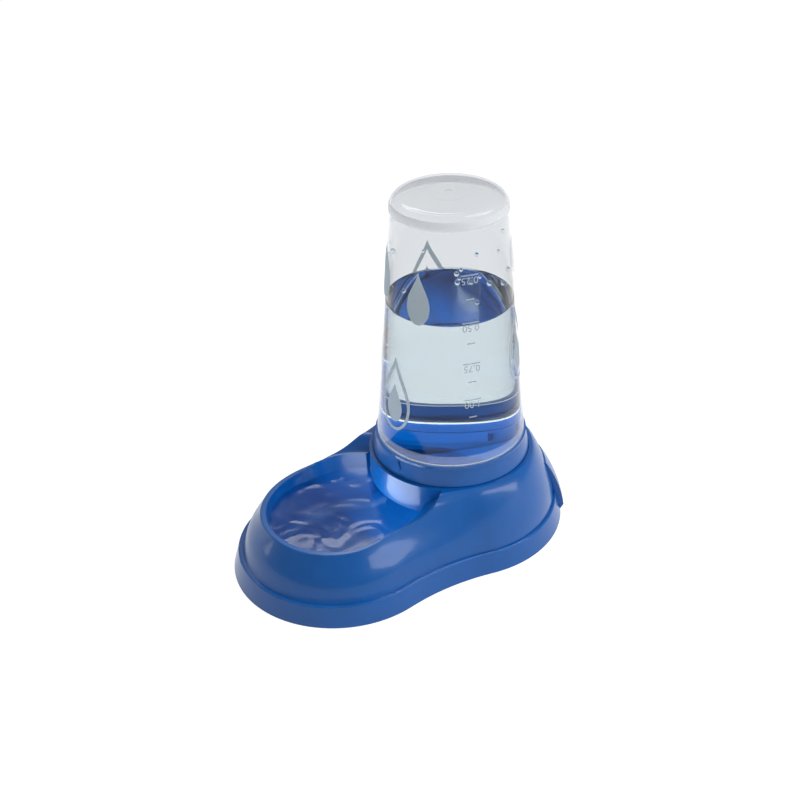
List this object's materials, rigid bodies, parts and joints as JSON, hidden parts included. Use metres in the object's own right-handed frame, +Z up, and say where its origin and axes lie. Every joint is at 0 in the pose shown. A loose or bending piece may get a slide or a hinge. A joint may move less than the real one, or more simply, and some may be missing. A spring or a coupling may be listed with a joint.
{
  "type": "pet food and water dispenser",
  "caption": "Gravity dispenser for a pet: a blue moulded base with a bowl and a turning selector ring that carries an upturned clear reservoir.",
  "frame": {"origin": "on the floor under the rubber feet, in the middle of the length and of the width", "axes": "+Z up, +X to the right of the bowl, -Y towards the bowl end and +Y towards the reservoir end"},
  "size_m": [0.1792, 0.2826, 0.281],
  "materials": {
    "base_plastic": "satin injection-moulded polypropylene",
    "ring_plastic": "satin injection-moulded polypropylene",
    "seal_rubber": "matt silicone",
    "clear_plastic": "clear blow-moulded, frosted dome",
    "foot_rubber": "matt"
  },
  "bodies": {
    "base": {"base_shell": "base_plastic", "foot_front_left": "foot_rubber", "foot_front_right": "foot_rubber", "foot_rear_left": "foot_rubber", "foot_rear_right": "foot_rubber"},
    "ring": {"selector_ring": "ring_plastic", "reservoir_seal": "seal_rubber"},
    "tank": {"reservoir": "clear_plastic"}
  },
  "joints": [
    {"name": "selector_turn", "type": "hinge", "parent": "base", "child": "ring", "pos_m": [0, 0.0493, 0.0535], "axis": [0, 0, 1], "range_deg": [0, 180]},
    {"name": "reservoir_lift", "type": "slide", "parent": "ring", "child": "tank", "axis": [0, 0, 1], "range_m": [0, 0.04]}
  ]
}
